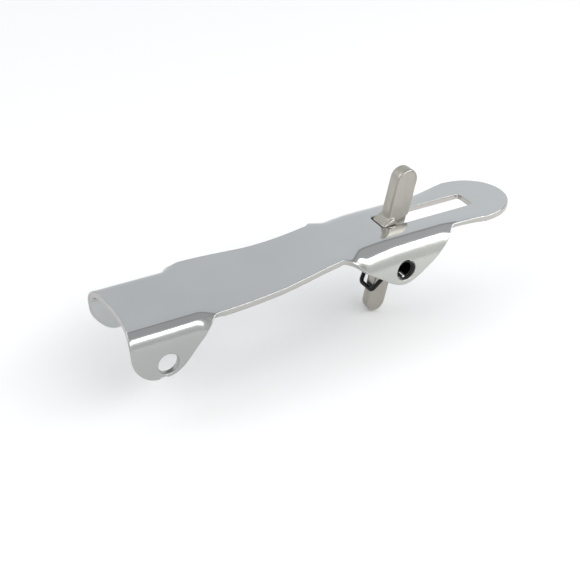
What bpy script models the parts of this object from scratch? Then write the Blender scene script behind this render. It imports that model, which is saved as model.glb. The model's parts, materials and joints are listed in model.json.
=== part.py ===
"""Sprung latch arm: a pressed sheet-metal arm, a cast catch lever, its pivot pin and spring.

Frame: metres, +X from the hinge end towards the rounded tip, +Y across the arm, +Z up.
The origin is on the axis of the two empty hinge bores, midway between the rear ears.
"""
import math

import bmesh
import bpy
from mathutils import Matrix, Vector

MM = 0.001

# Sheet
SHEET = 2.0 * MM              # thickness of the pressed sheet
EAR_SPAN = 30.0 * MM          # across the outer faces of each pair of ears

# Rear end: channel with the hinge ears
REAR_END = -11.4 * MM         # cut end of the sheet, behind the hinge axis
REAR_RAKE = 0.08              # the cut end slopes forward this much per unit of depth
REAR_HOLLOW = 2.2 * MM        # the cut end is this much further forward on the middle line
REAR_TOP = 11.8 * MM          # top face above the hinge axis
REAR_BEND = 5.6 * MM          # outer bend radius
HINGE_BORE = 6.4 * MM         # bore for the customer's 1/4 in pin
HINGE_EDGE = 4.4 * MM         # hinge axis to the bottom edge of the ear
REAR_FLAT = 3.3 * MM          # half length of the ear's straight bottom edge
REAR_CORNER = 8.5 * MM        # round at the ear's lower rear corner
REAR_EAR_FRONT = 16.3 * MM    # where the ear's sloping edge reaches the top face
REAR_FADE = 8.0 * MM          # length in which the bend dies out into the plate

# Middle: flat plate that rises in a gentle S and narrows to a waist
SHOULDER_HALF = 14.4 * MM     # half width just ahead of the rear ears
WAIST_HALF = 11.1 * MM        # half width just behind the front ears
RISE = 4.6 * MM               # step up of the top face
RISE_START = 34.0 * MM
RISE_END = 76.0 * MM

# Front end: ears for the pivot pin, slot and rounded tip
PIN_X = 78.4 * MM             # pivot axis ahead of the hinge axis
PIN_DROP = 9.2 * MM           # pivot axis below the top face
PIN_EDGE = 5.4 * MM           # pivot axis to the bottom edge of the ear
FRONT_BEND = 9.0 * MM         # outer bend radius
FRONT_FLAT = 2.2 * MM         # half length of the ear's rounded bottom
EAR_BACK = 21.8 * MM          # pivot axis back to where the ear's edge reaches the top face
EAR_AHEAD = 21.0 * MM         # pivot axis ahead to where the ear's edge reaches the top face
FADE_BACK = 9.0 * MM          # length in which the bend dies out behind the ear
FADE_AHEAD = 16.0 * MM        # length in which the bend dies out ahead of the ear
NECK_HALF = 10.6 * MM         # half width just ahead of the front ears
HEAD_HALF = 12.0 * MM         # half width at the widest place of the head
HEAD_X = 35.0 * MM            # pivot axis to the widest place of the head
TIP = 46.5 * MM               # pivot axis to the end of the rounded tip
TIP_ROUND = 15.5 * MM         # length of the tip's rounding
SLOT_WIDTH = 7.3 * MM
SLOT_BACK = 1.5 * MM          # pivot axis back to the slot's rear end
SLOT_LENGTH = 33.8 * MM
SLOT_CORNER = 0.8 * MM

# Cells of the pressed sheet from the middle line to an edge
FLAT_CELLS, BEND_CELLS, FLANGE_CELLS = 3, 5, 3
EDGE_SOFTNESS = 1.0 * MM      # how gently an ear's edge runs into the plate's edge

# Pivot pin: a slotted spring pin pressed in the ears
PIN_DIAMETER = 6.1 * MM
PIN_WALL = 1.1 * MM
PIN_GAP = 1.2 * MM            # slit along the pin
PIN_INSET = 0.8 * MM          # pin end below the ear's outer face

# Catch lever
LEAN = 10.4                   # degrees that the lever leans towards the tip at rest
BLADE_OFFSET = 3.1 * MM       # tongue's middle line ahead of the pivot axis
TAB_OFFSET = 2.9 * MM         # thumb tab's middle line ahead of the pivot axis
TAB_REACH = 26.9 * MM         # pivot axis to the top of the thumb tab
TONGUE_REACH = 22.0 * MM      # pivot axis to the end of the tongue
TAB_WIDTH = 7.4 * MM
TAB_THICK = 4.6 * MM
TONGUE_WIDTH = 6.4 * MM
TONGUE_ROUND = 3.5 * MM       # length of the tongue's rounding
BLADE_THICK = 4.0 * MM
SHOULDER_REACH = 11.4 * MM    # pivot axis to the underside of the thumb tab
HEEL_RISE = 1.8 * MM          # top of the heel above the sheet
HUB_DIAMETER = 9.8 * MM
HUB_LENGTH = 8.0 * MM
LEVER_ROUND = 0.7 * MM        # soft edges of the casting

# Torsion spring
WIRE = 1.4 * MM
COIL_TURNS = 3                # whole turns, besides the part turn that ends at the leg
COIL_GAP = 0.08 * MM          # between one turn and the next
BIGHT_DROP = 13.3 * MM        # pivot axis to the bight, along the lever
LEG_REACH = 10.0 * MM         # pivot axis back to the ends of the fixed legs

# Fits
FIT = 0.2 * MM                # radial play of the pin in its bores
TOUCH = 0.3 * MM              # gap between pieces that rest on each other

# Worked out
HALF_SPAN = EAR_SPAN / 2
TOP = REAR_TOP + RISE
PIN_Z = TOP - PIN_DROP
PIN_BORE = PIN_DIAMETER + 2 * FIT
COIL_RADIUS = PIN_DIAMETER / 2 + TOUCH + WIRE / 2
HALF_CELLS = FLAT_CELLS + BEND_CELLS + FLANGE_CELLS
FLAT_SHARE = FLAT_CELLS / HALF_CELLS
BEND_SHARE = (FLAT_CELLS + BEND_CELLS) / HALF_CELLS


def clear_scene():
    for obj in list(bpy.data.objects):
        bpy.data.objects.remove(obj, do_unlink=True)


def new_collection(name):
    collection = bpy.data.collections.new(name)
    bpy.context.scene.collection.children.link(collection)
    return collection


def principled(name, color, metallic, roughness):
    material = bpy.data.materials.new(name)
    material.use_nodes = True
    shader = material.node_tree.nodes["Principled BSDF"]
    shader.inputs["Base Color"].default_value = (*color, 1.0)
    shader.inputs["Metallic"].default_value = metallic
    shader.inputs["Roughness"].default_value = roughness
    return material


def add_object(name, mesh, collection, material=None):
    obj = bpy.data.objects.new(name, mesh)
    collection.objects.link(obj)
    if material:
        obj.data.materials.append(material)
    return obj


def to_mesh(obj, collection, name, weld=0.00002):
    """Replace a curve object by a welded mesh object in the same place."""
    bpy.context.view_layer.update()
    evaluated = obj.evaluated_get(bpy.context.evaluated_depsgraph_get())
    mesh = bpy.data.meshes.new_from_object(evaluated)
    place = obj.matrix_world.copy()
    bpy.data.objects.remove(obj, do_unlink=True)
    bm = bmesh.new()
    bm.from_mesh(mesh)
    bmesh.ops.remove_doubles(bm, verts=bm.verts, dist=weld)
    bmesh.ops.recalc_face_normals(bm, faces=bm.faces)
    bm.to_mesh(mesh)
    bm.free()
    result = add_object(name, mesh, collection)
    result.matrix_world = place
    return result


def as_cutter(obj):
    obj.hide_render = True
    obj.display_type = "WIRE"
    return obj


def boolean(obj, other, operation):
    modifier = obj.modifiers.new(other.name, "BOOLEAN")
    modifier.operation = operation
    modifier.solver = "EXACT"
    modifier.object = other


def cross_cylinder(name, radius, length, center, collection, sides=40):
    """A cylinder along Y."""
    mesh = bpy.data.meshes.new(name)
    bm = bmesh.new()
    bmesh.ops.create_cone(bm, cap_ends=True, segments=sides, radius1=radius, radius2=radius, depth=length)
    bm.to_mesh(mesh)
    bm.free()
    obj = add_object(name, mesh, collection)
    obj.rotation_euler = (math.radians(90), 0, 0)
    obj.location = center
    return obj


def smoothstep(value, start, end):
    t = min(1.0, max(0.0, (value - start) / (end - start)))
    return t * t * (3 - 2 * t)


def blend(a, b, t):
    return a + (b - a) * t


# ---------------------------------------------------------------- pressed arm

def top_height(x):
    return REAR_TOP + RISE * smoothstep(x, RISE_START, RISE_END)


def plate_half(x):
    """Half width of the flat plate, where no ear is folded down."""
    waist = blend(SHOULDER_HALF, WAIST_HALF, smoothstep(x, REAR_EAR_FRONT, PIN_X - EAR_BACK))
    neck = blend(waist, NECK_HALF, smoothstep(x, PIN_X - EAR_BACK, PIN_X + EAR_AHEAD))
    return blend(neck, HEAD_HALF, smoothstep(x, PIN_X + 0.9 * EAR_AHEAD, PIN_X + HEAD_X))


def soft_ramp(value, softness):
    """Zero below zero, the value itself above, with a rounded corner."""
    if value <= -softness:
        return 0.0
    if value >= softness:
        return value
    return (value + softness) ** 2 / (4 * softness)


def rear_ear_drop(x):
    """Side outline of the rear ears: depth of their edge below the top face."""
    depth = REAR_TOP + HINGE_EDGE
    if x < REAR_END + REAR_CORNER:
        run = REAR_END + REAR_CORNER - x
        return depth - REAR_CORNER + math.sqrt(max(0.0, REAR_CORNER ** 2 - run ** 2))
    slope = depth / (REAR_EAR_FRONT - REAR_FLAT)
    return depth - slope * soft_ramp(x - REAR_FLAT, REAR_FLAT)


def front_ear_drop(x):
    """Side outline of the front ears: a shallow triangle with a round bottom."""
    depth = PIN_DROP + PIN_EDGE
    back = depth / (EAR_BACK - FRONT_FLAT) * soft_ramp(PIN_X - FRONT_FLAT - x, 2 * FRONT_FLAT)
    ahead = depth / (EAR_AHEAD - FRONT_FLAT) * soft_ramp(x - PIN_X - FRONT_FLAT, 2 * FRONT_FLAT)
    return depth - back - ahead


def fold(x):
    """How far the edges are folded down at x, 0 to 1, with the bend radius and the ear's drop."""
    start = PIN_X - EAR_BACK
    end = PIN_X + EAR_AHEAD
    if x < (REAR_EAR_FRONT + start) / 2:
        amount = 1 - smoothstep(x, REAR_EAR_FRONT - 0.85 * REAR_FADE, REAR_EAR_FRONT + 0.15 * REAR_FADE)
        return amount, REAR_BEND, rear_ear_drop(x)
    rising = smoothstep(x, start, start + FADE_BACK)
    dying = smoothstep(x, end - 0.4 * FADE_AHEAD, end + 0.6 * FADE_AHEAD)
    return rising * (1 - dying), FRONT_BEND, front_ear_drop(x)


def ear_length(drop, radius):
    """Sheet length from the start of the bend to an edge that lies this far below the top face."""
    if drop <= 0:
        return drop
    if drop < radius:
        return radius * math.acos(1 - drop / radius)
    return radius * math.pi / 2 + drop - radius


def section_point(x, share):
    """The outer face at x and at a signed share, -1 to 1, of its developed half width."""
    amount, radius, ear_drop = fold(x)
    flat = HALF_SPAN - radius
    folded = flat + radius * math.pi / 2
    plate = plate_half(x)
    edge = plate + soft_ramp(flat + ear_length(ear_drop, radius) - plate, EDGE_SOFTNESS)
    bend_start = blend(0.55 * edge, flat, amount)
    bend_end = min(folded, blend(bend_start, edge, 0.75))
    along = abs(share)
    if along < FLAT_SHARE:
        developed = bend_start * along / FLAT_SHARE
    elif along < BEND_SHARE:
        developed = blend(bend_start, bend_end, (along - FLAT_SHARE) / (BEND_SHARE - FLAT_SHARE))
    else:
        developed = blend(bend_end, edge, (along - BEND_SHARE) / (1 - BEND_SHARE))
    limit = amount * math.pi / 2
    angle = min(max(0.0, developed - flat) / radius, limit)
    straight = max(0.0, developed - flat - radius * limit)
    y = min(developed, flat) + radius * math.sin(angle) + straight * math.cos(limit)
    drop = radius * (1 - math.cos(angle)) + straight * math.sin(limit)
    setback = REAR_RAKE * drop + REAR_HOLLOW * (1 - (y / HALF_SPAN) ** 2)
    return Vector((x + setback * smoothstep(-x, 0, -REAR_END), math.copysign(y, share), top_height(x) - drop))


def arm_stations():
    """X of each cross-section: close together where the outline turns."""
    corner = [REAR_END + REAR_CORNER * (1 - math.cos(math.radians(a))) for a in (0, 15, 30, 45, 60, 75)]
    start = PIN_X - EAR_BACK
    end = PIN_X + EAR_AHEAD
    rear = REAR_EAR_FRONT + 0.15 * REAR_FADE
    runs = [
        (REAR_END + REAR_CORNER, REAR_EAR_FRONT - 0.85 * REAR_FADE, 5),
        (REAR_EAR_FRONT - 0.85 * REAR_FADE, rear, 8),
        (rear, start, 8),
        (start, start + FADE_BACK, 8),
        (start + FADE_BACK, PIN_X, 7),
        (PIN_X, end - 0.4 * FADE_AHEAD, 6),
        (end - 0.4 * FADE_AHEAD, end + 0.6 * FADE_AHEAD, 9),
        (end + 0.6 * FADE_AHEAD, PIN_X + TIP, 6),
    ]
    stations = corner
    for begin, finish, count in runs:
        stations += [blend(begin, finish, i / count) for i in range(count)]
    return stations + [PIN_X + TIP]


def tip_blank(collection):
    """What the press trims off around the rounded tip."""
    start = PIN_X + TIP - TIP_ROUND
    reach = HEAD_HALF * 2
    mesh = bpy.data.meshes.new("tip_trim")
    bm = bmesh.new()
    arc = [math.radians(a) for a in range(-90, 91, 9)]
    inner = [(start + TIP_ROUND * math.cos(a) ** 0.9, HEAD_HALF * 1.001 * math.sin(a)) for a in arc]
    outer = [(start, reach), (PIN_X + TIP * 1.2, reach), (PIN_X + TIP * 1.2, -reach), (start, -reach)]
    base = [bm.verts.new((x, y, TOP - 3 * SHEET)) for x, y in inner + outer]
    face = bm.faces.new(base)
    grown = bmesh.ops.extrude_face_region(bm, geom=[face])
    raised = [v for v in grown["geom"] if isinstance(v, bmesh.types.BMVert)]
    bmesh.ops.translate(bm, verts=raised, vec=(0, 0, 6 * SHEET))
    bmesh.ops.recalc_face_normals(bm, faces=bm.faces)
    bm.to_mesh(mesh)
    bm.free()
    return as_cutter(add_object("tip_trim", mesh, collection))


def slot_cutter(collection):
    center = PIN_X - SLOT_BACK + SLOT_LENGTH / 2
    mesh = bpy.data.meshes.new("slot_cut")
    bm = bmesh.new()
    bmesh.ops.create_cube(bm, size=1.0)
    bmesh.ops.scale(bm, verts=bm.verts, vec=(SLOT_LENGTH, SLOT_WIDTH, 6 * SHEET))
    upright = [e for e in bm.edges if abs(e.verts[0].co.z - e.verts[1].co.z) > SHEET]
    bmesh.ops.bevel(bm, geom=upright, offset=SLOT_CORNER, segments=3, affect="EDGES", profile=0.5)
    bm.to_mesh(mesh)
    bm.free()
    cutter = as_cutter(add_object("slot_cut", mesh, collection))
    cutter.location = (center, 0, TOP - SHEET / 2)
    return cutter


def latch_arm(parts, cutters, material):
    stations = arm_stations()
    mesh = bpy.data.meshes.new("latch_arm")
    bm = bmesh.new()
    bmesh.ops.create_grid(bm, x_segments=len(stations) - 1, y_segments=2 * HALF_CELLS, size=0.5)
    for vert in bm.verts:
        column = round((vert.co.x + 0.5) * (len(stations) - 1))
        share = round(vert.co.y * 2 * HALF_CELLS) / HALF_CELLS
        vert.co = section_point(stations[column], share)
    bm.to_mesh(mesh)
    bm.free()
    mesh.shade_smooth()
    arm = add_object("latch_arm", mesh, parts, material)
    wall = arm.modifiers.new("sheet", "SOLIDIFY")
    wall.thickness = SHEET
    wall.offset = -1
    boolean(arm, tip_blank(cutters), "DIFFERENCE")
    boolean(arm, slot_cutter(cutters), "DIFFERENCE")
    through = EAR_SPAN * 1.2
    hinge = cross_cylinder("hinge_bore_cut", HINGE_BORE / 2, through, (0, 0, 0), cutters)
    pivot = cross_cylinder("pin_bore_cut", PIN_BORE / 2, through, (PIN_X, 0, PIN_Z), cutters)
    boolean(arm, as_cutter(hinge), "DIFFERENCE")
    boolean(arm, as_cutter(pivot), "DIFFERENCE")
    return arm


# ---------------------------------------------------------------- pivot pin

def pivot_pin(parts, material):
    """A rolled pin: a C-shaped outline drawn along Y, its slit facing down."""
    outer = PIN_DIAMETER / 2
    inner = outer - PIN_WALL
    slit = math.asin(PIN_GAP / 2 / outer)
    length = EAR_SPAN - 2 * PIN_INSET
    curve = bpy.data.curves.new("pivot_pin", "CURVE")
    curve.dimensions = "2D"
    curve.fill_mode = "BOTH"
    curve.extrude = length / 2
    spline = curve.splines.new("POLY")
    sides = 32
    turn = [blend(slit, 2 * math.pi - slit, i / sides) for i in range(sides + 1)]
    ring = [(outer * math.cos(a), outer * math.sin(a)) for a in turn]
    ring += [(inner * math.cos(a), inner * math.sin(a)) for a in reversed(turn)]
    spline.points.add(len(ring) - 1)
    for point, (x, y) in zip(spline.points, ring):
        point.co = (x, y, 0, 1)
    spline.use_cyclic_u = True
    obj = bpy.data.objects.new("pivot_pin_outline", curve)
    parts.objects.link(obj)
    obj.matrix_world = Matrix.Translation((PIN_X, 0, PIN_Z)) @ Matrix.Rotation(math.radians(90), 4, "X") \
        @ Matrix.Rotation(math.radians(-90), 4, "Z")
    pin = to_mesh(obj, parts, "pivot_pin")
    pin.data.materials.append(material)
    return pin


# ---------------------------------------------------------------- catch lever

def lever_outline(width, start, end, round_start, round_end, arc=10):
    """Closed outline of an upright bar with rounded or square ends."""
    half = width / 2
    points = []
    for reach, rounding, sign in ((end, round_end, 1), (start, round_start, -1)):
        for i in range(arc + 1):
            angle = math.pi * i / arc if rounding else (0 if i < arc / 2 else math.pi)
            x = half * math.cos(angle) * sign
            z = reach - sign * rounding + sign * rounding * math.sin(angle)
            if not points or (Vector((x, z)) - Vector(points[-1])).length > 1e-6:
                points.append((x, z))
    return points


def flat_casting(name, outline, thick, collection, middle=0.0, lean=0.0):
    """An outline in the XZ plane given thickness in Y, with soft edges, turned about the pivot axis."""
    curve = bpy.data.curves.new(name, "CURVE")
    curve.dimensions = "2D"
    curve.fill_mode = "BOTH"
    curve.extrude = thick / 2
    spline = curve.splines.new("POLY")
    spline.points.add(len(outline) - 1)
    for point, (x, z) in zip(spline.points, outline):
        point.co = (x + middle, z, 0, 1)
    spline.use_cyclic_u = True
    obj = bpy.data.objects.new(name + "_outline", curve)
    collection.objects.link(obj)
    obj.rotation_euler = (math.radians(90), 0, 0)
    casting = to_mesh(obj, collection, name)
    casting.data.transform(casting.matrix_world)
    casting.matrix_world = Matrix.Identity(4)
    casting.rotation_euler = (0, math.radians(lean), 0)
    soft = casting.modifiers.new("soft_edges", "BEVEL")
    soft.width = LEVER_ROUND
    soft.segments = 2
    soft.limit_method = "ANGLE"
    soft.angle_limit = math.radians(50)
    return casting


def heel_outline():
    """The flare at the lever's root, whose upright face rests against the slot's rear end."""
    lean = math.radians(LEAN)
    face = TOUCH - SLOT_BACK
    middle = BLADE_OFFSET + PIN_DROP * math.tan(lean)
    back = middle - TONGUE_WIDTH / 2 / math.cos(lean)
    return [(middle, 0), (middle, PIN_DROP - SHEET), (back + LEVER_ROUND, PIN_DROP + HEEL_RISE),
            (face, PIN_DROP), (face, PIN_DROP - SHEET), (-0.4 * HUB_DIAMETER, 0.25 * HUB_DIAMETER), (0, 0)]


def catch_lever(parts, cutters, material):
    tongue = lever_outline(TONGUE_WIDTH, -TONGUE_REACH, SHOULDER_REACH + 2 * LEVER_ROUND, TONGUE_ROUND, 0)
    thumb = lever_outline(TAB_WIDTH, SHOULDER_REACH, TAB_REACH, 0, TAB_WIDTH / 2)
    blade = flat_casting("catch_lever", tongue, BLADE_THICK, parts, BLADE_OFFSET, LEAN)
    tab = flat_casting("thumb_tab", thumb, TAB_THICK, cutters, TAB_OFFSET, LEAN)
    heel = flat_casting("heel", heel_outline(), SLOT_WIDTH - 2 * TOUCH, cutters)
    hub = cross_cylinder("hub", HUB_DIAMETER / 2, HUB_LENGTH, (0, 0, 0), cutters, 32)
    bore = cross_cylinder("lever_bore_cut", PIN_BORE / 2, HUB_LENGTH * 2, (0, 0, 0), cutters, 32)
    for addition in (heel, hub, tab):
        boolean(blade, as_cutter(addition), "UNION")
    boolean(blade, as_cutter(bore), "DIFFERENCE")
    blade.data.materials.append(material)
    pivot = bpy.data.objects.new("lever_axis", None)
    parts.objects.link(pivot)
    pivot.location = (PIN_X, 0, PIN_Z)
    for obj in (blade, tab, heel, hub, bore):
        obj.parent = pivot
    return blade


# ---------------------------------------------------------------- torsion spring

def spring_path():
    """Wire route relative to the pivot axis, for the +Y half: fixed leg, coil, leg to the bight."""
    inner_end = HUB_LENGTH / 2 + TOUCH + WIRE / 2
    outer_end = inner_end + COIL_TURNS * (WIRE + COIL_GAP)
    # the fixed leg lies under the plate, where the inside of the bend begins to drop
    inside_bend = FRONT_BEND - SHEET
    across = outer_end + WIRE / 2 - (HALF_SPAN - FRONT_BEND)
    sag = inside_bend - math.sqrt(inside_bend ** 2 - across ** 2)
    leg_height = PIN_DROP - SHEET - sag - TOUCH - WIRE
    # the bight lies behind the tongue
    lean = math.radians(LEAN)
    behind = TONGUE_WIDTH / 2 + TOUCH + WIRE / 2 - BLADE_OFFSET
    bight_x = -behind * math.cos(lean) - BIGHT_DROP * math.sin(lean)
    bight_z = behind * math.sin(lean) - BIGHT_DROP * math.cos(lean)
    points = [Vector((-LEG_REACH, outer_end, leg_height))]
    # the coil runs from its top, over its front, to where the leg to the bight leaves it
    start = math.radians(90)
    leave = math.atan2(bight_z, bight_x) + math.acos(COIL_RADIUS / math.hypot(bight_x, bight_z))
    sweep = COIL_TURNS * 2 * math.pi + start - leave
    steps = round(sweep / math.radians(26))
    for i in range(steps + 1):
        angle = start - sweep * i / steps
        points.append(Vector((COIL_RADIUS * math.cos(angle), blend(outer_end, inner_end, i / steps),
                              COIL_RADIUS * math.sin(angle))))
    # the leg stays beside the hub until it is clear of it, then runs in to the bight
    run = HUB_DIAMETER / 2
    points.append(points[-1] + Vector((run * math.sin(leave), 0, -run * math.cos(leave))))
    points.append(Vector((bight_x, BLADE_THICK / 2 + TOUCH + WIRE / 2, bight_z)))
    return points


def torsion_spring(parts, material):
    half = spring_path()
    route = half + [Vector((p.x, -p.y, p.z)) for p in reversed(half)]
    curve = bpy.data.curves.new("torsion_spring", "CURVE")
    curve.dimensions = "3D"
    curve.bevel_depth = WIRE / 2
    curve.bevel_resolution = 2
    curve.use_fill_caps = True
    spline = curve.splines.new("POLY")
    spline.points.add(len(route) - 1)
    for point, place in zip(spline.points, route):
        point.co = (*place, 1)
    obj = bpy.data.objects.new("torsion_spring", curve)
    parts.objects.link(obj)
    obj.data.materials.append(material)
    obj.location = (PIN_X, 0, PIN_Z)
    return obj


def main():
    clear_scene()
    parts = new_collection("sprung_latch_arm")
    cutters = new_collection("cutters")
    plated = principled("bright_plated_steel", (0.68, 0.71, 0.73), 1.0, 0.2)
    cast = principled("plated_casting", (0.62, 0.6, 0.57), 1.0, 0.32)
    black = principled("black_spring_steel", (0.03, 0.03, 0.03), 0.7, 0.35)
    latch_arm(parts, cutters, plated)
    pivot_pin(parts, black)
    catch_lever(parts, cutters, cast)
    torsion_spring(parts, black)


main()
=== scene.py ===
"""Looks of a sprung latch arm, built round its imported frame.

Metres, +X from the hinge end to the rounded tip, +Y across the arm, +Z up.
The pressed arm is drawn as a flat blank in millimetres and then pressed to shape.
"""
import json
import math
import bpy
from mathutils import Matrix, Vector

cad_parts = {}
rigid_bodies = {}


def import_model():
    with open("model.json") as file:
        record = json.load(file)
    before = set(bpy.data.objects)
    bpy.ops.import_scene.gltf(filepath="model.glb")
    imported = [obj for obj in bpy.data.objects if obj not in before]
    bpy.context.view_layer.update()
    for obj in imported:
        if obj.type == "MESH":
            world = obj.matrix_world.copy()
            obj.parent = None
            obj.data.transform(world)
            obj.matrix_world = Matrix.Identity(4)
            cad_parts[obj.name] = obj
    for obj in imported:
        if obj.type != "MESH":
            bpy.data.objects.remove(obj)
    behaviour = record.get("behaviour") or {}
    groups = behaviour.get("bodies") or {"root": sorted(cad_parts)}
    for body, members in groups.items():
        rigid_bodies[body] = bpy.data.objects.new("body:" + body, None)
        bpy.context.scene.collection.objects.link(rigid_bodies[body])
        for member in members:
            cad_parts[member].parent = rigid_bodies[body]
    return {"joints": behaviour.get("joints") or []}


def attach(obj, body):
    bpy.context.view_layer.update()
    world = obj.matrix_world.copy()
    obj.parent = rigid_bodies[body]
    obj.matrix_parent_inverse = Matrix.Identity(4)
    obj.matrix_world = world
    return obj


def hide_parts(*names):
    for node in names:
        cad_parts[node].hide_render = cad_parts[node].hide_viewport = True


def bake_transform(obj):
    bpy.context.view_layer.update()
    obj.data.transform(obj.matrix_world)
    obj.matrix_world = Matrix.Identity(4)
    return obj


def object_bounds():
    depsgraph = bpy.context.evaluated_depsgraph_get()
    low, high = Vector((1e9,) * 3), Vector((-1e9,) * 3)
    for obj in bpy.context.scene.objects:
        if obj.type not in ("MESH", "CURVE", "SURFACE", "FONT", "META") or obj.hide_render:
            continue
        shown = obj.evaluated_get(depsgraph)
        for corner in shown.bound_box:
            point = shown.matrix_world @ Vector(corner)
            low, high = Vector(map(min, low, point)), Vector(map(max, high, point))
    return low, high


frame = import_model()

from types import SimpleNamespace

import bmesh
import bpy
import numpy as np
from bpy.props import FloatProperty, FloatVectorProperty, IntProperty, PointerProperty
from mathutils import Matrix, Vector

bl_info = {
    "name": "Sprung Latch Arm",
    "version": (1, 0, 0),
    "blender": (4, 5, 0),
    "location": "3D View > Sidebar > Latch Arm",
    "description": "Builds a plated latch arm with its catch lever, pivot pin and torsion spring",
    "category": "Object",
}

MM = 0.001
CAD_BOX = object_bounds()
PIN_JOINT = Vector(frame["joints"][0]["pos_m"])
ARM_BODY = frame["joints"][0]["parent"]
LEVER_BODY = frame["joints"][0]["child"]


def size(name, description, default):
    """A length property in metres whose default is given in millimetres."""
    return FloatProperty(name=name, description=description, default=default * MM, unit="LENGTH",
                         precision=5)


def tilt(name, description, degrees):
    """An angle property whose default is given in degrees."""
    return FloatProperty(name=name, description=description, default=math.radians(degrees), subtype="ANGLE")


def colour(name, description, default):
    return FloatVectorProperty(name=name, description=description, default=default, subtype="COLOR",
                               min=0.0, max=1.0)


# ---------------------------------------------------------------- settings

class PressedArmSizes(bpy.types.PropertyGroup):
    """Sizes of the pressed sheet-metal arm."""
    sheet: size("Sheet", "Thickness of the sheet", 2.0)
    edge_round: size("Edge Round", "Radius left on the sheared edges by tumbling", 0.38)
    ear_span: size("Ear Span", "Across the outer faces of a pair of ears", 30.0)
    rear_end: size("Rear End", "Cut end of the sheet, along X", -11.4)
    rear_hollow: size("Rear Hollow", "How far the cut end is hollowed on the middle line", 2.2)
    rear_top: size("Rear Top", "Top face above the hinge axis", 11.8)
    rear_bend: size("Rear Bend", "Outer bend radius at the hinge ears", 5.6)
    hinge_bore: size("Hinge Bore", "Diameter of the hinge bores", 6.4)
    hinge_edge: size("Hinge Edge", "Hinge axis to the ear's bottom edge", 4.4)
    rear_flat: size("Rear Flat", "Half length of the hinge ear's bottom edge", 3.3)
    rear_corner: size("Rear Corner", "Round at the hinge ear's lower corner", 8.5)
    rear_ear_front: size("Rear Ear Front", "Where the hinge ear's edge meets the top face", 16.3)
    rear_fade: size("Rear Fade", "Length in which the rear bend dies out", 8.0)
    shoulder_half: size("Shoulder", "Half width ahead of the hinge ears", 14.4)
    waist_half: size("Waist", "Half width behind the front ears", 11.1)
    rise: size("Rise", "Step up of the top face", 4.6)
    rise_start: size("Rise Start", "Where the top face begins to rise", 34.0)
    rise_end: size("Rise End", "Where the top face is level again", 76.0)
    pin_drop: size("Pin Drop", "Pivot axis below the top face", 9.2)
    pin_edge: size("Pin Edge", "Pivot axis to the ear's bottom edge", 5.4)
    pin_bore: size("Pin Bore", "Diameter of the pivot pin's bores", 6.5)
    front_bend: size("Front Bend", "Outer bend radius at the front ears", 9.0)
    front_flat: size("Front Flat", "Half length of the front ear's rounded bottom", 2.2)
    ear_back: size("Ear Back", "Pivot axis back to where the ear's edge meets the top face", 21.8)
    ear_ahead: size("Ear Ahead", "Pivot axis ahead to where the ear's edge meets the top face", 21.0)
    fade_back: size("Fade Back", "Length in which the bend dies out behind the ear", 9.0)
    fade_ahead: size("Fade Ahead", "Length in which the bend dies out ahead of the ear", 16.0)
    neck_half: size("Neck", "Half width ahead of the front ears", 10.6)
    head_half: size("Head", "Half width of the head", 12.0)
    head_x: size("Head Place", "Pivot axis to the widest place of the head", 35.0)
    fade_round: size("Fade Round", "Smallest outer bend radius where a bend dies out", 4.0)
    tip: size("Tip", "Pivot axis to the end of the rounded tip", 46.5)
    tip_round: size("Tip Round", "Length of the tip's rounding", 15.5)
    slot_width: size("Slot Width", "Width of the slot", 7.3)
    slot_back: size("Slot Back", "Pivot axis back to the slot's rear end", 1.5)
    slot_length: size("Slot Length", "Length of the slot", 33.8)
    slot_corner: size("Slot Corner", "Round in the slot's corners", 0.8)
    cell: size("Cell", "Spacing of the mesh lines on the sheet", 0.7)


class CatchLeverSizes(bpy.types.PropertyGroup):
    """Sizes of the cast catch lever."""
    blade_offset: size("Blade Offset", "Tongue's middle line ahead of the pivot axis", 3.1)
    tab_offset: size("Tab Offset", "Thumb tab's middle line ahead of the pivot axis", 2.9)
    tab_reach: size("Tab Reach", "Pivot axis to the top of the thumb tab", 26.9)
    tongue_reach: size("Tongue Reach", "Pivot axis to the end of the tongue", 22.0)
    tab_width: size("Tab Width", "Width of the thumb tab", 7.4)
    tab_thick: size("Tab Thickness", "Thickness of the thumb tab", 4.6)
    tongue_width: size("Tongue Width", "Width of the tongue", 6.4)
    tongue_round: size("Tongue Round", "Length of the tongue's rounding", 3.5)
    blade_thick: size("Blade Thickness", "Thickness of the tongue", 4.0)
    shoulder_reach: size("Shoulder", "Pivot axis to the underside of the thumb tab", 12.0)
    shoulder_slant: size("Shoulder Slant", "How much lower the underside is at the heel", 3.4)
    heel_rise: size("Heel Rise", "Top of the heel above the sheet's top face", 1.7)
    hub_diameter: size("Hub Diameter", "Diameter of the hub round the pin", 9.8)
    hub_length: size("Hub Length", "Length of the hub along the pin", 8.0)
    edge_round: size("Edge Round", "Soft edges of the casting", 0.8)
    skin: size("Skin Spacing", "Mesh spacing of the cast skin", 0.2)
    bore: size("Bore", "Diameter of the bore that turns on the pin", 6.5)
    clearance: size("Clearance", "Gap between the heel and the slot", 0.3)
    lean: tilt("Lean", "Lean towards the tip at rest", 10.4)


class PivotPinSizes(bpy.types.PropertyGroup):
    """Sizes of the rolled pivot pin."""
    diameter: size("Diameter", "Outside of the pin", 6.1)
    wall: size("Wall", "Wall of the rolled pin", 0.8)
    slit: size("Slit", "Width of the slit along the pin", 1.2)
    inset: size("Inset", "Pin end below the ear's outer face", 1.1)
    chamfer: size("Chamfer", "Round on the pin's ends", 0.22)


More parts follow.
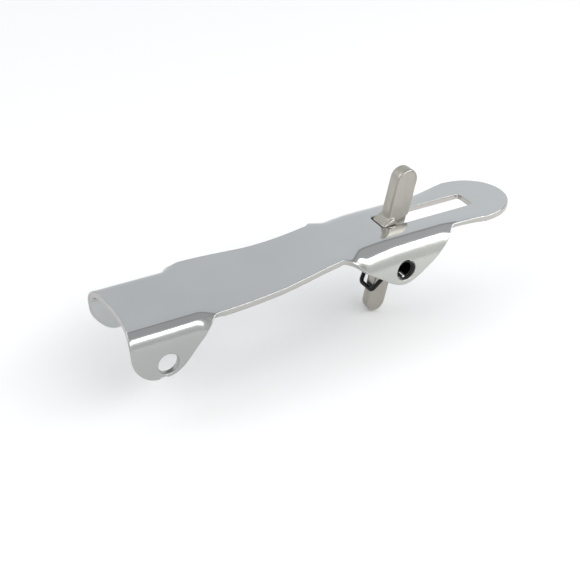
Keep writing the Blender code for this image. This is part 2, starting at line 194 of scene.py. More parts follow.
class TorsionSpringSizes(bpy.types.PropertyGroup):
    """Sizes of the double torsion spring."""
    wire: size("Wire", "Diameter of the wire", 1.4)
    gap: size("Gap", "Between one turn and the next", 0.08)
    bight_drop: size("Bight Drop", "Pivot axis to the bight, along the lever", 13.3)
    leg_reach: size("Leg Reach", "Pivot axis back to the ends of the fixed legs", 10.0)
    touch: size("Touch", "Gap between pieces that rest on each other", 0.3)
    bend: size("Bend", "Inner radius where a leg turns into the bight", 0.7)
    turns: IntProperty(name="Turns", description="Whole turns in each coil", default=3, min=1, max=12)


class FinishColours(bpy.types.PropertyGroup):
    """Colours of the metals."""
    plate: colour("Plate", "Bright plated top face", (0.575, 0.59, 0.59))
    ear: colour("Ear", "Fine-grained ears", (0.53, 0.54, 0.505))
    sheared: colour("Sheared Edge", "Sheared edges of the sheet", (0.52, 0.50, 0.47))
    casting: colour("Casting", "Plated casting of the lever", (0.43, 0.415, 0.375))
    streak: colour("Streak", "Tan streaks on the casting", (0.37, 0.32, 0.24))
    black: colour("Black", "Black oxide of pin and spring", (0.004, 0.004, 0.005))
    rubbed: colour("Rubbed", "Steel that shows where the black is rubbed", (0.10, 0.10, 0.10))


class StageSettings(bpy.types.PropertyGroup):
    """Camera and light."""
    azimuth: tilt("Azimuth", "Camera's turn round the arm", -31.81)
    elevation: tilt("Elevation", "Camera's height above the horizon", 33.24)
    roll: tilt("Roll", "Camera's roll", 2.357)
    distance: size("Distance", "Camera to its target", 370.0)
    target: FloatVectorProperty(name="Target", description="Place that the camera looks at", unit="LENGTH",
                                subtype="TRANSLATION", default=(0.05988, 0.02077, -0.01488))
    lens: FloatProperty(name="Lens", description="Focal length in millimetres", default=70.87)
    ambient: FloatProperty(name="Ambient", description="Strength of the studio's soft light", default=1.0)


# ---------------------------------------------------------------- shader maths

class Value:
    """A shader socket that takes part in Python arithmetic."""

    def __init__(self, finish, socket):
        self.finish = finish
        self.socket = socket

    def math(self, operation, *others):
        return self.finish.node("ShaderNodeMath", {"operation": operation}, 0, self, *others)

    def __add__(self, other):
        return self.math("ADD", other)

    def __sub__(self, other):
        return self.math("SUBTRACT", other)

    def __rsub__(self, other):
        return self.finish.node("ShaderNodeMath", {"operation": "SUBTRACT"}, 0, other, self)

    def __mul__(self, other):
        return self.math("MULTIPLY", other)

    __radd__ = __add__
    __rmul__ = __mul__

    def step(self, start, end):
        """0 below start, 1 above end, smooth between."""
        settings = {"interpolation_type": "SMOOTHSTEP"}
        return self.finish.node("ShaderNodeMapRange", settings, 0, self, start, end, 0.0, 1.0)


class Finish:
    """The node tree of a material or of the world, and the shader that it feeds."""

    def __init__(self, owner, shader="Principled BSDF"):
        self.owner = owner
        owner.use_nodes = True
        self.tree = owner.node_tree
        self.shader = self.tree.nodes[shader]

    def node(self, kind, settings, output, *values, **named):
        """Adds a node, sets it up, feeds its sockets in order or by name, and returns one output."""
        made = self.tree.nodes.new(kind)
        for key, setting in settings.items():
            if key == "stops":
                self.colour_stops(made.color_ramp.elements, setting)
            else:
                setattr(made, key, setting)
        usable = [socket for socket in made.inputs if socket.enabled]
        for socket, value in zip(usable, values):
            self.feed(socket, value)
        for key, value in named.items():
            self.feed(made.inputs[key], value)
        return Value(self, made.outputs[output])

    @staticmethod
    def colour_stops(elements, stops):
        for index, end in ((0, stops[0]), (1, stops[-1])):
            elements[index].position, elements[index].color = end[0], solid(end[1])
        for place, tone in stops[1:-1]:
            elements.new(place).color = solid(tone)

    def feed(self, socket, value):
        if isinstance(value, Value):
            self.tree.links.new(value.socket, socket)
        else:
            socket.default_value = value

    def place(self, scale=(1, 1, 1), turn=(0, 0, 0)):
        """Object coordinates in millimetres, turned and stretched."""
        seat = self.node("ShaderNodeTexCoord", {}, "Object")
        return self.node("ShaderNodeMapping", {}, 0, Vector=seat, Rotation=turn,
                         Scale=tuple(s / MM for s in scale))

    def noise(self, scale, detail=3.0, stretch=(1, 1, 1), turn=(0, 0, 0), rough=0.5):
        return self.node("ShaderNodeTexNoise", {}, "Fac", Vector=self.place(stretch, turn), Scale=scale,
                         Detail=detail, Roughness=rough)

    def attribute(self, name):
        return self.node("ShaderNodeAttribute", {"attribute_name": name}, "Fac")

    def mix(self, factor, first, second):
        settings = {"data_type": "RGBA", "blend_type": "MIX"}
        return self.node("ShaderNodeMix", settings, 2, factor, first, second)

    def bump(self, height, strength, distance):
        return self.node("ShaderNodeBump", {}, 0, Strength=strength, Distance=distance, Height=height)

    def surface(self, **sockets):
        for name, value in sockets.items():
            self.feed(self.shader.inputs[name.replace("_", " ")], value)
        return self.owner


def solid(rgb):
    return (*rgb, 1.0)


def plated_sheet(colours):
    """Bright plating: mirror-like top, fine-grained ears, matt sheared edges, with painted shade towards the
    hinge end.
    """
    finish = Finish(bpy.data.materials.new("bright_plating"))
    ear = finish.attribute("ear")
    sheared = finish.attribute("sheared")
    cloud = finish.noise(0.045, 2.0)
    tone = finish.mix(ear, solid(colours.plate), solid(colours.ear))
    tone = finish.mix(sheared, tone, solid(colours.sheared))
    along = finish.node("ShaderNodeSeparateXYZ", {}, "X", finish.place())
    # painted shade: the tone darkens towards the hinge end, more on the ears, laid over a random mottle that
    # is the plating's own
    painted_hinge_shade = 1 - along.step(-12.0, 110.0)
    mottle_and_hinge_shade = (cloud - 0.35) * 0.3 + (0.36 + 0.3 * ear) * painted_hinge_shade
    tone = finish.mix(mottle_and_hinge_shade, tone, solid([c * 0.62 for c in colours.plate]))
    grain = finish.noise(1.6, 4.0, (0.35, 1, 1))
    fine = finish.noise(6.0, 2.0)
    handling = finish.noise(0.22, 4.0).step(0.45, 0.8)
    rough = 0.10 + 0.05 * handling + 0.14 * ear + 0.16 * sheared + 0.05 * (grain - 0.5)
    ripple = finish.noise(0.09, 1.0)
    relief = ripple * 0.9 + grain * (0.012 + 0.05 * ear) + fine * (0.004 + 0.03 * ear + 0.05 * sheared)
    normal = finish.bump(relief, 0.35, 0.25 * MM)
    return finish.surface(Base_Color=tone, Metallic=1.0, Roughness=rough, Normal=normal)


def plated_casting(colours, lean):
    """Satin plated casting with faint tan streaks along the lever."""
    finish = Finish(bpy.data.materials.new("satin_casting"))
    along = (0.0, -lean, 0.0)
    streaks = finish.noise(0.55, 4.0, (1, 1, 0.16), along).step(0.46, 0.74)
    blotch = finish.noise(0.16, 3.0)
    tone = finish.mix(streaks * 0.42, solid(colours.casting), solid(colours.streak))
    tone = finish.mix((blotch - 0.3) * 0.5, tone, solid([c * 0.8 for c in colours.casting]))
    grain = finish.noise(2.6, 5.0, (1, 1, 0.4), along, 0.6)
    pits = finish.noise(5.0, 2.0).step(0.66, 0.8)
    rough = 0.26 + 0.12 * streaks + 0.10 * grain
    relief = grain * 0.10 + blotch * 0.35 - pits * 0.05
    normal = finish.bump(relief, 0.3, 0.2 * MM)
    return finish.surface(Base_Color=tone, Metallic=1.0, Roughness=rough, Normal=normal)


def black_oxide(colours):
    """Black spring steel, rubbed to bare metal in a few places."""
    finish = Finish(bpy.data.materials.new("black_oxide"))
    rubbed = finish.noise(0.7, 4.0).step(0.66, 0.85)
    tone = finish.mix(rubbed * 0.3, solid(colours.black), solid(colours.rubbed))
    scale = finish.noise(5.0, 4.0)
    rough = 0.10 + 0.08 * scale + 0.10 * rubbed
    normal = finish.bump(scale, 0.12, 0.06 * MM)
    return finish.surface(Base_Color=tone, Roughness=rough, Normal=normal, Specular_IOR_Level=0.28)


def material_named(name, make, *inputs):
    found = bpy.data.materials.get(name)
    return found or make(*inputs)


# ---------------------------------------------------------------- mesh helpers

def smoothstep(value, start, end):
    t = np.clip((value - start) / (end - start), 0.0, 1.0)
    return t * t * (3 - 2 * t)


def between(a, b, t):
    return a + (b - a) * t


def show(name, mesh, material, slot, *nodes):
    """Links a finished mesh as a piece that stands for CAD nodes."""
    obj = bpy.data.objects.new(name, mesh)
    bpy.context.scene.collection.objects.link(obj)
    mesh.materials.clear()
    mesh.materials.append(material)
    mesh.shade_smooth()
    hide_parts(*nodes)
    return obj


def baked(obj, name):
    """The evaluated object as a plain mesh, with the object itself removed."""
    bpy.context.view_layer.update()
    mesh = bpy.data.meshes.new_from_object(obj.evaluated_get(bpy.context.evaluated_depsgraph_get()))
    bpy.data.objects.remove(obj, do_unlink=True)
    mesh.name = name
    return mesh


def weighted(mesh, name):
    """The same mesh with its shading kept flat up to the rounded edges."""
    holder = bpy.data.objects.new(name, mesh)
    bpy.context.scene.collection.objects.link(holder)
    mesh.shade_smooth()
    even = holder.modifiers.new("even_shading", "WEIGHTED_NORMAL")
    even.weight = 80
    even.keep_sharp = True
    return baked(holder, name)


def outline_slab(name, outlines, thick, rounding, segments=3):
    """Closed outlines on the XY plane given thickness along Z, with rounded edges. Units are the caller's."""
    curve = bpy.data.curves.new(name, "CURVE")
    curve.dimensions = "2D"
    curve.fill_mode = "BOTH"
    curve.extrude = thick / 2 - rounding
    curve.bevel_depth = rounding
    curve.bevel_resolution = segments
    curve.offset = -rounding
    for outline in outlines:
        spline = curve.splines.new("POLY")
        spline.points.add(len(outline) - 1)
        for point, (x, y) in zip(spline.points, outline):
            point.co = (x, y, 0, 1)
        spline.use_cyclic_u = True
    obj = bpy.data.objects.new(name, curve)
    bpy.context.scene.collection.objects.link(obj)
    mesh = baked(obj, name)
    bm = bmesh.new()
    bm.from_mesh(mesh)
    bmesh.ops.remove_doubles(bm, verts=bm.verts, dist=thick * 1e-4)
    bmesh.ops.recalc_face_normals(bm, faces=bm.faces)
    return bm, mesh


# ---------------------------------------------------------------- pressed arm

REAR_RAKE = 0.08  # how far the cut end leans forward for each millimetre of depth


class Press:
    """The pressing that turns the flat blank into the arm. Works in millimetres, on arrays."""

    def __init__(self, sizes):
        for key in PressedArmSizes.__annotations__:
            setattr(self, key, getattr(sizes, key) / MM)
        self.half_span = self.ear_span / 2
        self.pin_x = PIN_JOINT.x / MM
        self.back = self.pin_x - self.ear_back
        self.ahead = self.pin_x + self.ear_ahead
        self.end = self.pin_x + self.tip

    def top_height(self, x):
        return self.rear_top + self.rise * smoothstep(x, self.rise_start, self.rise_end)

    def plate_half(self, x):
        waist = between(self.shoulder_half, self.waist_half, smoothstep(x, self.rear_ear_front, self.back))
        neck = between(waist, self.neck_half, smoothstep(x, self.back, self.ahead))
        widening = smoothstep(x, self.pin_x + 0.9 * self.ear_ahead, self.pin_x + self.head_x)
        return between(neck, self.head_half, widening)

    @staticmethod
    def soft_ramp(value, softness):
        """Zero below zero, the value itself above, with a rounded corner."""
        return np.where(value >= softness, value, np.maximum(value + softness, 0) ** 2 / (4 * softness))

    def ear_drop(self, x):
        """Depth of the ears' edge below the top face."""
        rear_depth = self.rear_top + self.hinge_edge
        run = np.clip(self.rear_end + self.rear_corner - x, 0, self.rear_corner)
        corner = self.rear_corner - np.sqrt(self.rear_corner ** 2 - run ** 2)
        slope = rear_depth / (self.rear_ear_front - self.rear_flat)
        rear = rear_depth - corner - slope * self.soft_ramp(x - self.rear_flat, self.rear_flat)
        depth = self.pin_drop + self.pin_edge
        round_off = 2 * self.front_flat
        behind = self.soft_ramp(self.pin_x - self.front_flat - x, round_off)
        before = self.soft_ramp(x - self.pin_x - self.front_flat, round_off)
        front = depth * (1 - behind / (self.ear_back - self.front_flat)
                         - before / (self.ear_ahead - self.front_flat))
        return np.where(x < self.middle(), rear, front)

    def middle(self):
        return (self.rear_ear_front + self.back) / 2

    def fold(self, x):
        """How far the edges are folded down, 0 to 1, and the bend radius."""
        rear = 1 - smoothstep(x, self.rear_ear_front - 0.85 * self.rear_fade,
                              self.rear_ear_front + 0.15 * self.rear_fade)
        rising = smoothstep(x, self.back, self.back + self.fade_back)
        dying = smoothstep(x, self.ahead - 0.4 * self.fade_ahead, self.ahead + 0.6 * self.fade_ahead)
        is_rear = x < self.middle()
        amount = np.where(is_rear, rear, rising * (1 - dying))
        return amount, np.where(is_rear, self.rear_bend, self.front_bend)

    def unbent(self, drop, radius):
        """Length along the sheet from the start of the bend to this depth below the top face."""
        curved = radius * np.arccos(np.clip(1 - drop / radius, 0, 1))
        past = radius * math.pi / 2 + drop - radius
        return np.where(drop <= 0, drop, np.where(drop < radius, curved, past))

    def bend(self, x):
        """Start of the bend across the blank, its radius and its angle, and the blank's half width.

        Where a bend dies out, its start moves out to the edge while the edge comes up to the top face.
        """
        amount, radius = self.fold(x)
        flat = self.half_span - radius
        plate = self.plate_half(x)
        edge = plate + self.soft_ramp(flat + self.unbent(self.ear_drop(x), radius) - plate, 1.0)
        turn = np.clip((edge - flat) / radius, 0, math.pi / 2)
        curved_edge = np.minimum(edge, flat + radius * math.pi / 2)
        drop = np.maximum(radius * (1 - np.cos(turn)) * amount, 1e-6)
        place = between(curved_edge, flat + radius * np.sin(turn), amount)
        tightest = np.sqrt(np.maximum(2 * self.fade_round * drop - drop ** 2, 0))
        start = between(place - np.maximum(1.15 * drop, tightest), flat, amount)
        run = np.maximum(place - start, 1e-6)
        radius = (run ** 2 + drop ** 2) / (2 * drop)
        angle = np.arcsin(np.clip(run / radius, 0, 1))
        return start, radius, angle, start + radius * angle + edge - curved_edge

    def shape(self, x, across, depth):
        """Where a point of the blank lies after pressing. Depth is measured down from the top face."""
        flat, radius, limit, _ = self.bend(x)
        along = np.abs(across)
        angle = np.clip((along - flat) / radius, 0, limit)
        straight = np.maximum(0, along - flat - radius * limit)
        outer_drop = radius * (1 - np.cos(angle)) + straight * np.sin(limit)
        # beside the pivot bore the wall of the hole runs straight across the arm
        rim = np.hypot(x - self.pin_x, outer_drop - self.pin_drop)
        near = 1 - smoothstep(rim, self.pin_bore / 2 + self.edge_round, self.pin_bore / 2 + 2.5)
        squared = np.arccos(np.clip((radius - outer_drop) / np.maximum(radius - depth, 1e-6), 0, 1))
        angle = np.where((angle > 0) & (near > 0), between(angle, squared, near), angle)
        y = np.minimum(along, flat) + (radius - depth) * np.sin(angle) + straight * np.cos(limit)
        drop = radius - (radius - depth) * np.cos(angle) + straight * np.sin(limit)
        setback = REAR_RAKE * outer_drop + self.rear_hollow * (1 - (y / self.half_span) ** 2)
        x = x + setback * smoothstep(-x, 0, -self.rear_end)
        return np.stack([x, np.sign(across) * y, self.top_height(x) - drop], axis=1)


def blank_outline(press):
    """Edge of the flat blank, once round."""
    tip_start = press.end - press.tip_round
    body = np.concatenate([
        press.rear_end + press.rear_corner * (1 - np.cos(np.radians(np.arange(0, 90, 6)))),
        np.arange(press.rear_end + press.rear_corner, tip_start, press.cell)])
    side = list(zip(body, press.bend(body)[3]))
    for angle in np.radians(np.arange(90, 0, -4)):
        side.append((tip_start + press.tip_round * math.cos(angle) ** 0.9, press.head_half * math.sin(angle)))
    return side + [(press.end, 0.0)] + [(x, -y) for x, y in reversed(side)]


def hole(press, x, drop, diameter, side, segments=64):
    """Outline in the blank of a round bore that the pressing carries into an ear."""
    turn = np.linspace(0, 2 * math.pi, segments, endpoint=False)
    xs = x + diameter / 2 * np.cos(turn)
    drops = drop + diameter / 2 * np.sin(turn)
    radius = press.fold(np.array([x]))[1][0]
    across = press.half_span - radius + press.unbent(drops, radius)
    return [(a, side * b) for a, b in zip(xs, across)]


def slot_outline(press):
    """Rounded rectangle on the middle line."""
    left = press.pin_x - press.slot_back
    right = left + press.slot_length
    half = press.slot_width / 2
    corner = press.slot_corner
    points = []
    for cx, cy, first in ((right - corner, half - corner, 0), (left + corner, half - corner, 90),
                          (left + corner, corner - half, 180), (right - corner, corner - half, 270)):
        for angle in np.radians(np.arange(first, first + 91, 15)):
            points.append((cx + corner * math.cos(angle), cy + corner * math.sin(angle)))
    return points


def pressed_arm_mesh(sizes):
    press = Press(sizes)
    outlines = [blank_outline(press), slot_outline(press)]
    for side in (1, -1):
        outlines.append(hole(press, 0.0, press.rear_top, press.hinge_bore, side))
        outlines.append(hole(press, press.pin_x, press.pin_drop, press.pin_bore, side))
    bm, mesh = outline_slab("pressed_latch_arm", outlines, press.sheet, press.edge_round)
    half_blank = max(y for x, y in outlines[0])
    tag = bm.edges.layers.int.new("diagonal")
    for edge in bm.edges:
        heights = [vert.co.z for vert in edge.verts]
        on_face = all(abs(abs(z) - press.sheet / 2) < 1e-4 for z in heights) and heights[0] * heights[1] > 0
        if on_face and edge.is_manifold and edge.calc_face_angle(1.0) < 1e-3:
            edge[tag] = 1
    for axis, low, high in ((0, press.rear_end, press.end), (1, -half_blank, half_blank)):
        normal = Vector((1, 0, 0)) if axis == 0 else Vector((0, 1, 0))
        for place in np.arange(low + press.cell / 2, high, press.cell):
            bmesh.ops.bisect_plane(bm, geom=bm.verts[:] + bm.edges[:] + bm.faces[:], dist=1e-4,
                                   plane_co=normal * float(place), plane_no=normal)
    bmesh.ops.dissolve_edges(bm, edges=[e for e in bm.edges if e[tag]], use_verts=True)
    bm.edges.layers.int.remove(tag)
    flat = np.array([v.co for v in bm.verts])
    shaped = press.shape(flat[:, 0], flat[:, 1], press.sheet / 2 - flat[:, 2]) * MM
    for vert, place in zip(bm.verts, shaped):
        vert.co = place
    bmesh.ops.recalc_face_normals(bm, faces=bm.faces)
    bm.to_mesh(mesh)
    bm.free()
    # where the finish changes: the ears past their bend, and the sheared walls
    bend_end = press.half_span - press.fold(flat[:, 0])[1] * 0.35
    mesh.attributes.new("ear", "FLOAT", "POINT").data.foreach_set(
        "value", (smoothstep(np.abs(shaped[:, 1]) / MM, bend_end, bend_end + 1.2)
                  * (press.fold(flat[:, 0])[0] > 0.5)).astype(np.float32))
    wall = 1 - smoothstep(np.abs(flat[:, 2]), press.sheet / 2 - press.edge_round, press.sheet / 2 - 0.05)
    mesh.attributes.new("sheared", "FLOAT", "POINT").data.foreach_set("value", wall.astype(np.float32))
    return weighted(mesh, "pressed_latch_arm")


# ---------------------------------------------------------------- catch lever

FILLET_PASSES = 12  # smoothing of the cast skin
TAB_OVERLAP = 1.2  # millimetres that the tongue's bar runs up into the tab
# rounding of the slabs' edges, in millimetres
HEEL_ROUND = 0.9
HUB_ROUND = 0.4
DRILL_ROUND = 0.1


def circle(diameter, step=8):
    """A round outline, with a point every step degrees."""
    turn = np.radians(np.arange(0, 360, step))
    return [(diameter / 2 * math.cos(a), diameter / 2 * math.sin(a)) for a in turn]


def bar_outline(width, low, high, round_low, round_high, middle, arc=14):
    """An upright bar in the XZ plane with elliptic or square ends."""
    half = width / 2
    points = []
    for reach, rounding, sign in ((high, round_high, 1), (low, round_low, -1)):
        steps = range(arc + 1) if rounding else (0, arc)
        for i in steps:
            angle = math.pi * i / arc
            rise = rounding * math.sin(angle) if rounding else 0.0
            points.append((middle + half * math.cos(angle) * sign, reach - sign * rounding + sign * rise))
    return points


def lever_slabs(s, press, lean):
    """The lever's solid parts: outline, thickness, turn about the pin and rounding of the edges."""
    tongue = bar_outline(s.tongue_width, -s.tongue_reach, s.shoulder_reach + TAB_OVERLAP,
                         s.tongue_round, 0, s.blade_offset)
    thumb = bar_outline(s.tab_width, s.shoulder_reach, s.tab_reach, 0, s.tab_width / 2, s.tab_offset)
    # the shoulder under the tab slants down to the heel
    thumb = [(x, z - s.shoulder_slant * (s.tab_offset + s.tab_width / 2 - x) / s.tab_width)
             if z < s.shoulder_reach + 0.1 else (x, z) for x, z in thumb]
    middle = s.blade_offset + press.pin_drop * math.tan(lean)
    back = middle - s.tongue_width / 2 / math.cos(lean)
    face = s.clearance - press.slot_back
    below = press.pin_drop - press.sheet
    heel = [(middle, 0), (middle, below), (back + 1.6, press.pin_drop + s.heel_rise),
            (back + 0.2, press.pin_drop + s.heel_rise), (face, press.pin_drop), (face, below),
            (-0.4 * s.hub_diameter, 0.25 * s.hub_diameter), (0, 0)]
    return ((tongue, s.blade_thick, lean, s.edge_round),
            (thumb, s.tab_thick, lean, s.edge_round),
            (heel, press.slot_width - 2 * s.clearance, 0.0, HEEL_ROUND),
            (circle(s.hub_diameter), s.hub_length, 0.0, HUB_ROUND))


def catch_lever_mesh(sizes, press):
    """The lever's parts under one skin with soft fillets, bored for the pin."""
    s = SimpleNamespace(**{key: getattr(sizes, key) / MM for key in CatchLeverSizes.__annotations__
                           if key != "lean"})
    upright = Matrix.Rotation(math.radians(90), 4, "X")
    whole = bmesh.new()
    for outline, thick, lean, rounding in lever_slabs(s, press, sizes.lean):
        bm, mesh = outline_slab("lever_slab", [outline], thick, rounding)
        bm.to_mesh(mesh)
        bm.free()
        mesh.transform(Matrix.Rotation(lean, 4, "Y") @ upright)
        whole.from_mesh(mesh)
        bpy.data.meshes.remove(mesh)
    mesh = bpy.data.meshes.new("cast_catch_lever")
    whole.to_mesh(mesh)
    whole.free()
    holder = bpy.data.objects.new("lever_form", mesh)
    bpy.context.scene.collection.objects.link(holder)
    skin = holder.modifiers.new("cast_skin", "REMESH")
    skin.mode = "VOXEL"
    skin.voxel_size = s.skin
    soft = holder.modifiers.new("fillets", "SMOOTH")
    soft.factor = 0.5
    soft.iterations = FILLET_PASSES
    bore, bore_mesh = outline_slab("lever_bore", [circle(s.bore)], s.hub_length * 2, DRILL_ROUND)
    bore.to_mesh(bore_mesh)
    bore.free()
    bore_mesh.transform(upright)
    drill = bpy.data.objects.new("lever_drill", bore_mesh)
    bpy.context.scene.collection.objects.link(drill)
    cut = holder.modifiers.new("bore", "BOOLEAN")
    cut.object = drill
    cut.operation = "DIFFERENCE"
    cut.solver = "EXACT"
    finished = baked(holder, "cast_catch_lever")
    bpy.data.objects.remove(drill, do_unlink=True)
    finished.transform(Matrix.Translation(PIN_JOINT) @ Matrix.Scale(MM, 4))
    return finished


# ---------------------------------------------------------------- pivot pin

def pivot_pin_mesh(sizes, span):
    """A rolled, slit pin with rounded ends, lying along Y."""
    outer = sizes.diameter / 2 / MM
    inner = outer - sizes.wall / MM
    slit = math.asin(sizes.slit / 2 / MM / outer)
    turn = np.linspace(slit, 2 * math.pi - slit, 72)
    ring = [(outer * math.cos(a), outer * math.sin(a)) for a in turn]
    ring += [(inner * math.cos(a), inner * math.sin(a)) for a in turn[::-1]]
    length = (span - 2 * sizes.inset) / MM
    bm, mesh = outline_slab("rolled_pivot_pin", [ring], length, sizes.chamfer / MM)
    bm.to_mesh(mesh)
    bm.free()
    lying = Matrix.Rotation(math.radians(90), 4, "X") @ Matrix.Rotation(math.radians(-90), 4, "Z")
    mesh.transform(Matrix.Translation(PIN_JOINT) @ lying @ Matrix.Scale(MM, 4))
    return weighted(mesh, "rolled_pivot_pin")


# ---------------------------------------------------------------- torsion spring

def wire_tree():
    """Geometry Nodes that draw a round wire along a line of edges, with eased corners."""
    tree = bpy.data.node_groups.new("wire_along_route", "GeometryNodeTree")
    for name, kind in (("Geometry", "NodeSocketGeometry"), ("Wire Radius", "NodeSocketFloat"),
                       ("Corner Radius", "NodeSocketFloat"), ("Material", "NodeSocketMaterial")):
        tree.interface.new_socket(name, in_out="INPUT", socket_type=kind)
    tree.interface.new_socket("Geometry", in_out="OUTPUT", socket_type="NodeSocketGeometry")

    def add(kind, **settings):
        node = tree.nodes.new(kind)
        for key, setting in settings.items():
            setattr(node, key, setting)
        return node

    def join(source, out, target, into):
        tree.links.new(source.outputs[out], target.inputs[into])

    start = add("NodeGroupInput")
    route = add("GeometryNodeMeshToCurve")
    corners = add("GeometryNodeFilletCurve", mode="POLY")
    corners.inputs["Count"].default_value = 8
    corners.inputs["Limit Radius"].default_value = True
    profile = add("GeometryNodeCurvePrimitiveCircle")
    profile.inputs["Resolution"].default_value = 24
    sweep = add("GeometryNodeCurveToMesh")
    sweep.inputs["Fill Caps"].default_value = True
    smooth = add("GeometryNodeSetShadeSmooth")
    finish = add("GeometryNodeSetMaterial")
    real = add("GeometryNodeRealizeInstances")
    end = add("NodeGroupOutput")
    join(start, "Geometry", route, "Mesh")
    join(route, "Curve", corners, "Curve")
    join(start, "Corner Radius", corners, "Radius")
    join(start, "Wire Radius", profile, "Radius")
    join(corners, "Curve", sweep, "Curve")
    join(profile, "Curve", sweep, "Profile Curve")
    join(sweep, "Mesh", smooth, "Geometry")
    join(smooth, "Geometry", real, "Geometry")
    join(real, "Geometry", finish, "Geometry")
    join(start, "Material", finish, "Material")
    join(finish, "Geometry", end, "Geometry")
    return tree


def spring_route(spring, lever, arm, pin, side):
    """Wire route in metres about the pivot axis for one side: fixed leg, coil, leg, half the bight."""
    wire, touch = spring.wire, spring.touch
    radius = pin.diameter / 2 + touch + wire / 2
    inner_end = lever.hub_length / 2 + touch + wire / 2
    outer_end = inner_end + spring.turns * (wire + spring.gap)
    inside_bend = arm.front_bend - arm.sheet
    across = outer_end + wire / 2 - (arm.ear_span / 2 - arm.front_bend)
    sag = inside_bend - math.sqrt(inside_bend ** 2 - across ** 2)
    leg_height = arm.pin_drop - arm.sheet - sag - touch - wire
    behind = lever.tongue_width / 2 + touch + wire / 2 - lever.blade_offset
    bight_x = -behind * math.cos(lever.lean) - spring.bight_drop * math.sin(lever.lean)
    bight_z = behind * math.sin(lever.lean) - spring.bight_drop * math.cos(lever.lean)
    start = math.radians(90)
    leave = math.atan2(bight_z, bight_x) + math.acos(radius / math.hypot(bight_x, bight_z))
    sweep = spring.turns * 2 * math.pi + start - leave
    steps = round(sweep / math.radians(8))
    points = [Vector((-spring.leg_reach, outer_end, leg_height))]
    for i in range(steps + 1):
        angle = start - sweep * i / steps
        y = between(outer_end, inner_end, i / steps)
        points.append(Vector((radius * math.cos(angle), y, radius * math.sin(angle))))
    run = lever.hub_diameter / 2
    points.append(points[-1] + Vector((run * math.sin(leave), 0, -run * math.cos(leave))))
    points.append(Vector((bight_x, lever.blade_thick / 2 + touch + wire / 2, bight_z)))
    points.append(Vector((bight_x, 0, bight_z)))
    return [PIN_JOINT + Vector((p.x, side * p.y, p.z)) for p in points], outer_end, inner_end


def spring_half(name, side, settings, tree, material):
    route, outer_end, inner_end = spring_route(settings.spring, settings.lever, settings.arm, settings.pin,
                                               side)
    mesh = bpy.data.meshes.new(name)
    mesh.from_pydata(route, [(i, i + 1) for i in range(len(route) - 1)], [])
    holder = bpy.data.objects.new(name + "_route", mesh)
    bpy.context.scene.collection.objects.link(holder)
    wire = holder.modifiers.new("wire", "NODES")
    wire.node_group = tree
    inputs = {item.name: item.identifier for item in tree.interface.items_tree if item.in_out == "INPUT"}
    wire[inputs["Wire Radius"]] = settings.spring.wire / 2
    wire[inputs["Corner Radius"]] = settings.spring.bend + settings.spring.wire / 2
    wire[inputs["Material"]] = material
    piece = show(name, baked(holder, name), material, "black_spring_steel", "torsion_spring")
    PIN_JOINT + Vector((0, side * outer_end, 0))
    PIN_JOINT + Vector((0, side * inner_end, 0))
    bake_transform(piece)
    return piece


# ---------------------------------------------------------------- operators

# grey bands of the studio's surroundings, from the -Y side (0) to the +Y side (1)
STUDIO_BANDS = (
    (0.0, (0.86, 0.87, 0.88)), (0.20, (0.84, 0.85, 0.86)), (0.27, (0.58, 0.58, 0.585)),
    (0.55, (0.58, 0.575, 0.58)), (0.585, (0.40, 0.395, 0.40)), (0.605, (0.40, 0.395, 0.40)),
    (0.63, (0.83, 0.85, 0.87)), (1.0, (0.85, 0.87, 0.89)))


class LATCH_OT_pressed_arm(bpy.types.Operator):
    """Press the slotted sheet-metal arm from its flat blank"""
    bl_idname = "latch.pressed_arm"
    bl_label = "Pressed Arm"

    def execute(self, context):
        settings = context.scene.latch
        material = material_named("bright_plating", plated_sheet, settings.colours)
        arm = show("pressed_latch_arm", pressed_arm_mesh(settings.arm), material, "bright_plated_steel",
                   "latch_arm")
        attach(arm, ARM_BODY)
        return {"FINISHED"}


class LATCH_OT_catch_lever(bpy.types.Operator):
    """Cast the catch lever with its thumb tab, heel, hub and tongue"""
    bl_idname = "latch.catch_lever"
    bl_label = "Catch Lever"

    def execute(self, context):
        settings = context.scene.latch
        material = material_named("satin_casting", plated_casting, settings.colours, settings.lever.lean)
        mesh = catch_lever_mesh(settings.lever, Press(settings.arm))
        lever = show("cast_catch_lever", mesh, material, "plated_casting", "catch_lever")
        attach(lever, LEVER_BODY)
        return {"FINISHED"}


class LATCH_OT_pivot_pin(bpy.types.Operator):
    """Roll the slit pivot pin"""
    bl_idname = "latch.pivot_pin"
    bl_label = "Pivot Pin"

    def execute(self, context):
        settings = context.scene.latch
        material = material_named("black_oxide", black_oxide, settings.colours)
        mesh = pivot_pin_mesh(settings.pin, settings.arm.ear_span)
        pin = show("rolled_pivot_pin", mesh, material, "black_spring_steel", "pivot_pin")
        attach(pin, ARM_BODY)
        return {"FINISHED"}


class LATCH_OT_torsion_spring(bpy.types.Operator):
    """Wind the double torsion spring, one piece for each side"""
    bl_idname = "latch.torsion_spring"
    bl_label = "Torsion Spring"

    def execute(self, context):
        settings = context.scene.latch
        material = material_named("black_oxide", black_oxide, settings.colours)
        tree = wire_tree()
        spring_half("torsion_spring_near", -1, settings, tree, material)
        spring_half("torsion_spring_far", 1, settings, tree, material)
        return {"FINISHED"}


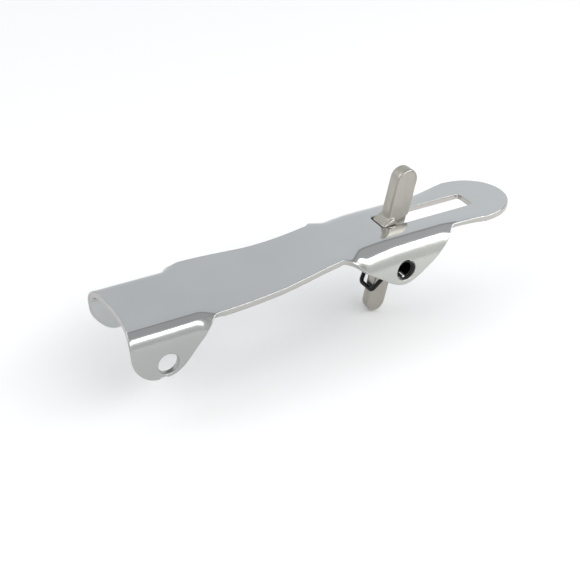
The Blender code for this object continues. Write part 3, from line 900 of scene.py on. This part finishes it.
class LATCH_OT_stage(bpy.types.Operator):
    """Set up the camera, the pale floor and the studio light"""
    bl_idname = "latch.stage"
    bl_label = "Stage"

    def execute(self, context):
        stage = context.scene.latch.stage
        self.camera(context, stage)
        self.floor(context)
        self.light(context, "band_light", (0.36, -0.41, 0.47), (0.05, 0, 0), 1.2, 0.20, 2.6)
        self.light(context, "floor_light", (-0.95, 0.25, 1.0), (0.0, 0.0, 0), 1.4, 1.1, 5.6)
        self.surroundings(context, stage)
        context.scene.view_settings.view_transform = "Standard"
        return {"FINISHED"}

    @staticmethod
    def camera(context, stage):
        cos_e = math.cos(stage.elevation)
        back = Vector((math.sin(stage.azimuth) * cos_e, -math.cos(stage.azimuth) * cos_e,
                       math.sin(stage.elevation)))
        data = bpy.data.cameras.new("studio_camera")
        data.lens = stage.lens
        data.clip_start = 0.01
        data.clip_end = 20.0
        camera = bpy.data.objects.new("studio_camera", data)
        context.scene.collection.objects.link(camera)
        camera.rotation_mode = "QUATERNION"
        camera.rotation_quaternion = ((-back).to_track_quat("-Z", "Y").to_matrix()
                                      @ Matrix.Rotation(stage.roll, 3, "Z")).to_quaternion()
        camera.location = Vector(stage.target) + back * stage.distance
        context.scene.camera = camera

    @staticmethod
    def floor(context):
        finish = Finish(bpy.data.materials.new("pale_floor"))
        speckle = finish.noise(0.02, 3.0)
        tone = finish.mix(speckle * 0.2, solid((0.97, 0.97, 0.97)), solid((0.95, 0.95, 0.95)))
        finish.surface(Base_Color=tone, Roughness=0.75)
        mesh = bpy.data.meshes.new("floor")
        bm = bmesh.new()
        bmesh.ops.create_grid(bm, x_segments=8, y_segments=8, size=3.0)
        bm.to_mesh(mesh)
        bm.free()
        mesh.materials.append(finish.owner)
        floor = bpy.data.objects.new("floor", mesh)
        context.scene.collection.objects.link(floor)
        floor.location.z = CAD_BOX[0].z - 0.0005

    @staticmethod
    def light(context, name, place, target, width, height, power):
        data = bpy.data.lights.new(name, "AREA")
        data.shape = "RECTANGLE"
        data.size = width
        data.size_y = height
        data.energy = power
        lamp = bpy.data.objects.new(name, data)
        context.scene.collection.objects.link(lamp)
        lamp.location = place
        aim = Vector(target) - Vector(place)
        lamp.rotation_mode = "QUATERNION"
        lamp.rotation_quaternion = aim.to_track_quat("-Z", "Y")

    @staticmethod
    def surroundings(context, stage):
        finish = Finish(bpy.data.worlds.new("studio"), "Background")
        seat = finish.node("ShaderNodeTexCoord", {}, "Generated")
        along = finish.node("ShaderNodeSeparateXYZ", {}, "Y", seat)
        place = finish.node("ShaderNodeMapRange", {}, 0, along, -1.0, 1.0, 0.0, 1.0)
        sky = finish.node("ShaderNodeValToRGB", {"stops": STUDIO_BANDS}, "Color", place)
        context.scene.world = finish.surface(Color=sky, Strength=stage.ambient)


class LatchSettings(bpy.types.PropertyGroup):
    """Everything that a user may change."""
    arm: PointerProperty(type=PressedArmSizes)
    lever: PointerProperty(type=CatchLeverSizes)
    pin: PointerProperty(type=PivotPinSizes)
    spring: PointerProperty(type=TorsionSpringSizes)
    colours: PointerProperty(type=FinishColours)
    stage: PointerProperty(type=StageSettings)


STEPS = (LATCH_OT_pressed_arm, LATCH_OT_catch_lever, LATCH_OT_pivot_pin, LATCH_OT_torsion_spring,
         LATCH_OT_stage)


class LATCH_PT_panel(bpy.types.Panel):
    """Buttons for each piece, and the sizes and colours"""
    bl_idname = "LATCH_PT_panel"
    bl_label = "Latch Arm"
    bl_space_type = "VIEW_3D"
    bl_region_type = "UI"
    bl_category = "Latch Arm"

    def draw(self, context):
        settings = context.scene.latch
        for step in STEPS:
            self.layout.operator(step.bl_idname)
        for group in (settings.arm, settings.lever, settings.pin, settings.spring, settings.colours,
                      settings.stage):
            box = self.layout.box()
            box.label(text=type(group).__name__)
            for key in type(group).__annotations__:
                box.prop(group, key)


CLASSES = (PressedArmSizes, CatchLeverSizes, PivotPinSizes, TorsionSpringSizes, FinishColours, StageSettings,
           LatchSettings, *STEPS, LATCH_PT_panel)


def register():
    for cls in CLASSES:
        bpy.utils.register_class(cls)
    bpy.types.Scene.latch = PointerProperty(type=LatchSettings)


def unregister():
    del bpy.types.Scene.latch
    for cls in reversed(CLASSES):
        bpy.utils.unregister_class(cls)


def main():
    register()
    for step in STEPS:
        group, call = step.bl_idname.split(".")
        getattr(getattr(bpy.ops, group), call)()


if __name__ == "__main__":
    main()
